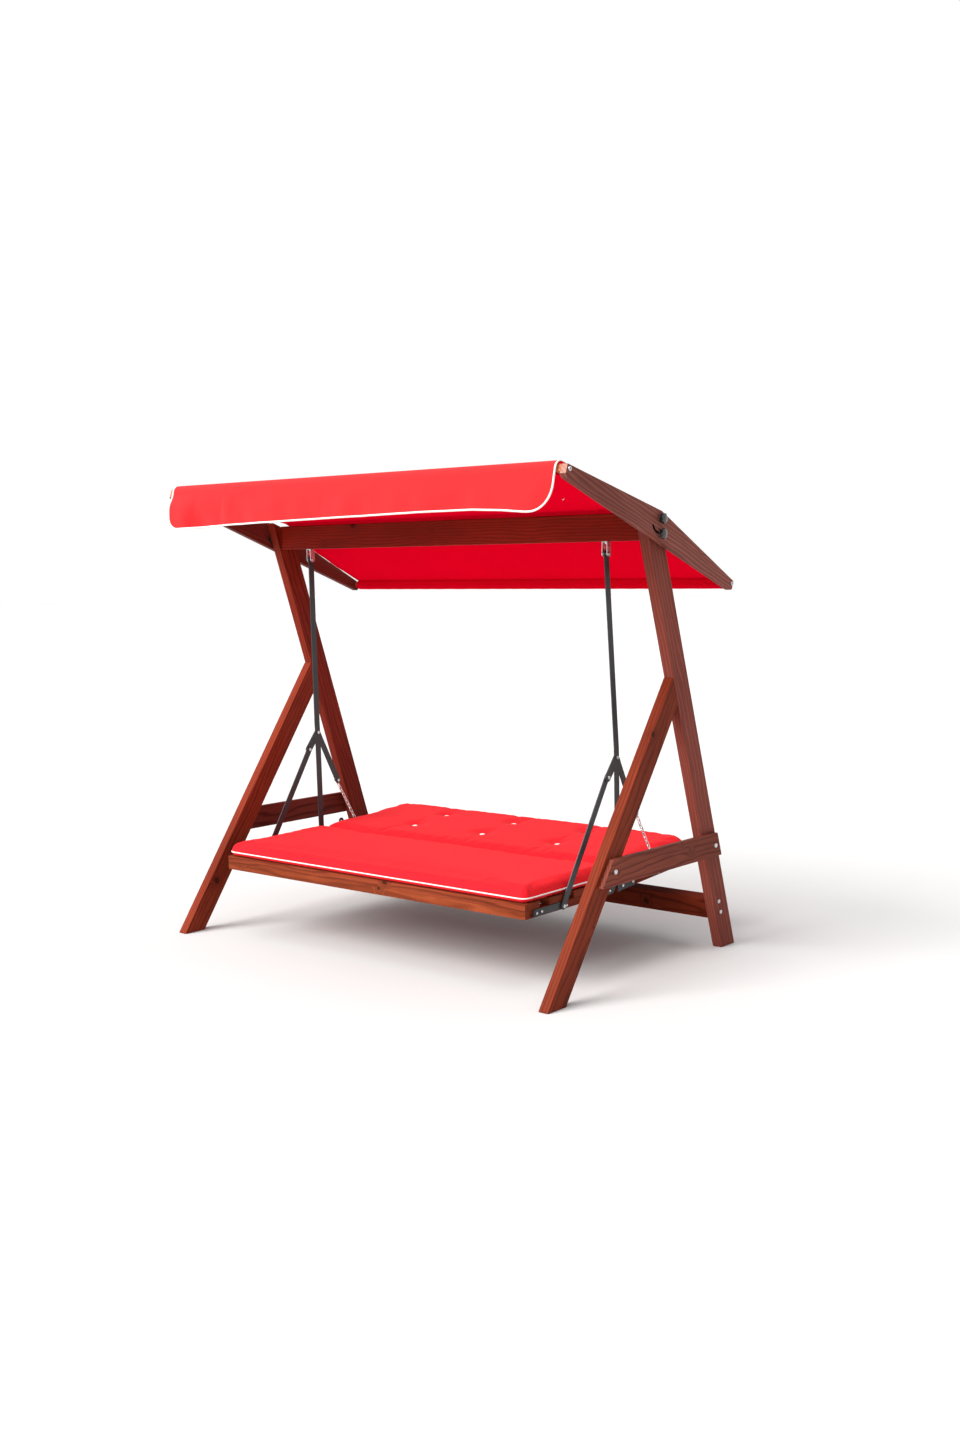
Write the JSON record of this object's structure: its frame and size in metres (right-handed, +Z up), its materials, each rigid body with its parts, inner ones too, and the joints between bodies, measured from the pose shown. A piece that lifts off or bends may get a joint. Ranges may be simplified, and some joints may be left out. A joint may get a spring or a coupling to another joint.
{
  "type": "garden swing seat",
  "caption": "Timber-framed porch swing with a tilting cloth canopy, padded slatted seat on flat steel hangers and a back that folds up from a flat lounger.",
  "frame": {"origin": "on the floor at the centre of the footprint, below the seat", "axes": "+X to the sitter's left (the right side seen from the front), -Y to the front where the sitter's feet are, +Z up"},
  "size_m": [2.216, 1.3333, 1.9925],
  "materials": {
    "timber": "stained softwood, satin varnish",
    "black_steel": "black powder coat",
    "zinc_steel": "zinc plated",
    "knob_plastic": "glossy black",
    "canopy_cloth": "woven polyester",
    "cushion_cloth": "woven cover with white piping",
    "button_plastic": "white"
  },
  "bodies": {
    "frame": {"rear_post_left": "timber", "rear_post_right": "timber", "front_leg_left": "timber", "front_leg_right": "timber", "side_brace_left": "timber", "side_brace_right": "timber", "top_beam": "timber", "rear_stretcher": "timber", "brace_bolts": "zinc_steel", "stretcher_bolts": "zinc_steel", "leg_joint_bolts": "zinc_steel", "clamp_studs": "zinc_steel", "stud_washers": "zinc_steel", "hanger_brackets": "zinc_steel", "bracket_screws": "zinc_steel", "bracket_pins": "zinc_steel"},
    "canopy": {"canopy_rail_left": "timber", "canopy_rail_right": "timber", "front_crossbar": "timber", "rear_crossbar": "timber", "crossbar_bolts": "zinc_steel", "canopy_fabric": "canopy_cloth"},
    "valance": {"valance": "canopy_cloth"},
    "tilt_knob_left": {"tilt_knob_left": "knob_plastic"},
    "tilt_knob_right": {"tilt_knob_right": "knob_plastic"},
    "clamp_knob_left": {"clamp_knob_left": "knob_plastic"},
    "clamp_knob_right": {"clamp_knob_right": "knob_plastic"},
    "swing": {"hanger_bar_left": "black_steel", "hanger_bar_right": "black_steel", "hanger_arms_left": "black_steel", "hanger_arms_right": "black_steel", "front_strut_left": "black_steel", "front_strut_right": "black_steel", "strap_plates": "black_steel", "hanger_bolts": "zinc_steel", "seat_plate_bolts": "zinc_steel", "pivot_bolts": "zinc_steel", "bar_bushings": "zinc_steel", "seat_side_rail_left": "timber", "seat_side_rail_right": "timber", "seat_front_rail": "timber", "seat_centre_rail": "timber", "seat_slats": "timber", "seat_slat_screws": "zinc_steel", "seat_hinge_leaves": "black_steel", "seat_cushion": "cushion_cloth"},
    "back": {"back_side_rail_left": "timber", "back_side_rail_right": "timber", "back_end_rail": "timber", "back_centre_rail": "timber", "back_slats": "timber", "back_slat_screws": "zinc_steel", "back_hinge_leaves": "black_steel", "chain_plates": "black_steel", "back_plate_bolts": "zinc_steel", "chain_bolts": "zinc_steel", "back_cushion": "cushion_cloth", "cushion_buttons": "button_plastic"},
    "chain_left": {"chain_left": "zinc_steel"},
    "chain_right": {"chain_right": "zinc_steel"}
  },
  "joints": [
    {"name": "canopy_tilt", "type": "hinge", "parent": "frame", "child": "canopy", "pos_m": [0, 0.02, 1.797], "axis": [1, 0, 0], "range_deg": [0, 60]},
    {"name": "valance_hang", "type": "hinge", "parent": "canopy", "child": "valance", "pos_m": [0, -0.56342, 1.96051], "axis": [1, 0, 0], "range_deg": [-60, 0]},
    {"name": "tilt_knob_left_turn", "type": "hinge", "parent": "frame", "child": "tilt_knob_left", "pos_m": [-1.097, 0.02, 1.797], "axis": [-1, 0, 0], "range_deg": [0, 360]},
    {"name": "tilt_knob_right_turn", "type": "hinge", "parent": "frame", "child": "tilt_knob_right", "pos_m": [1.097, 0.02, 1.797], "axis": [1, 0, 0], "range_deg": [0, 360]},
    {"name": "clamp_knob_left_turn", "type": "hinge", "parent": "frame", "child": "clamp_knob_left", "pos_m": [-1.097, 0.02, 1.739], "axis": [-1, 0, 0], "range_deg": [0, 360]},
    {"name": "clamp_knob_right_turn", "type": "hinge", "parent": "frame", "child": "clamp_knob_right", "pos_m": [1.097, 0.02, 1.739], "axis": [1, 0, 0], "range_deg": [0, 360]},
    {"name": "seat_swing", "type": "hinge", "parent": "frame", "child": "swing", "pos_m": [0, 0.021, 1.668], "axis": [1, 0, 0], "range_deg": [-18, 18]},
    {"name": "back_fold", "type": "hinge", "parent": "swing", "child": "back", "pos_m": [0, 0.062, 0.356], "axis": [1, 0, 0], "range_deg": [0, 62]},
    {"name": "chain_left_hang", "type": "hinge", "parent": "swing", "child": "chain_left", "pos_m": [-0.867, 0.18, 0.616], "axis": [1, 0, 0], "range_deg": [-31.15, 0]},
    {"name": "chain_right_hang", "type": "hinge", "parent": "swing", "child": "chain_right", "pos_m": [0.867, 0.18, 0.616], "axis": [1, 0, 0], "range_deg": [-31.15, 0]}
  ],
  "couplings": [
    {"joint": "valance_hang", "follows": "canopy_tilt", "ratio": -1},
    {"joint": "chain_left_hang", "follows": "back_fold", "ratio": -0.50242},
    {"joint": "chain_right_hang", "follows": "back_fold", "ratio": -0.50242}
  ]
}
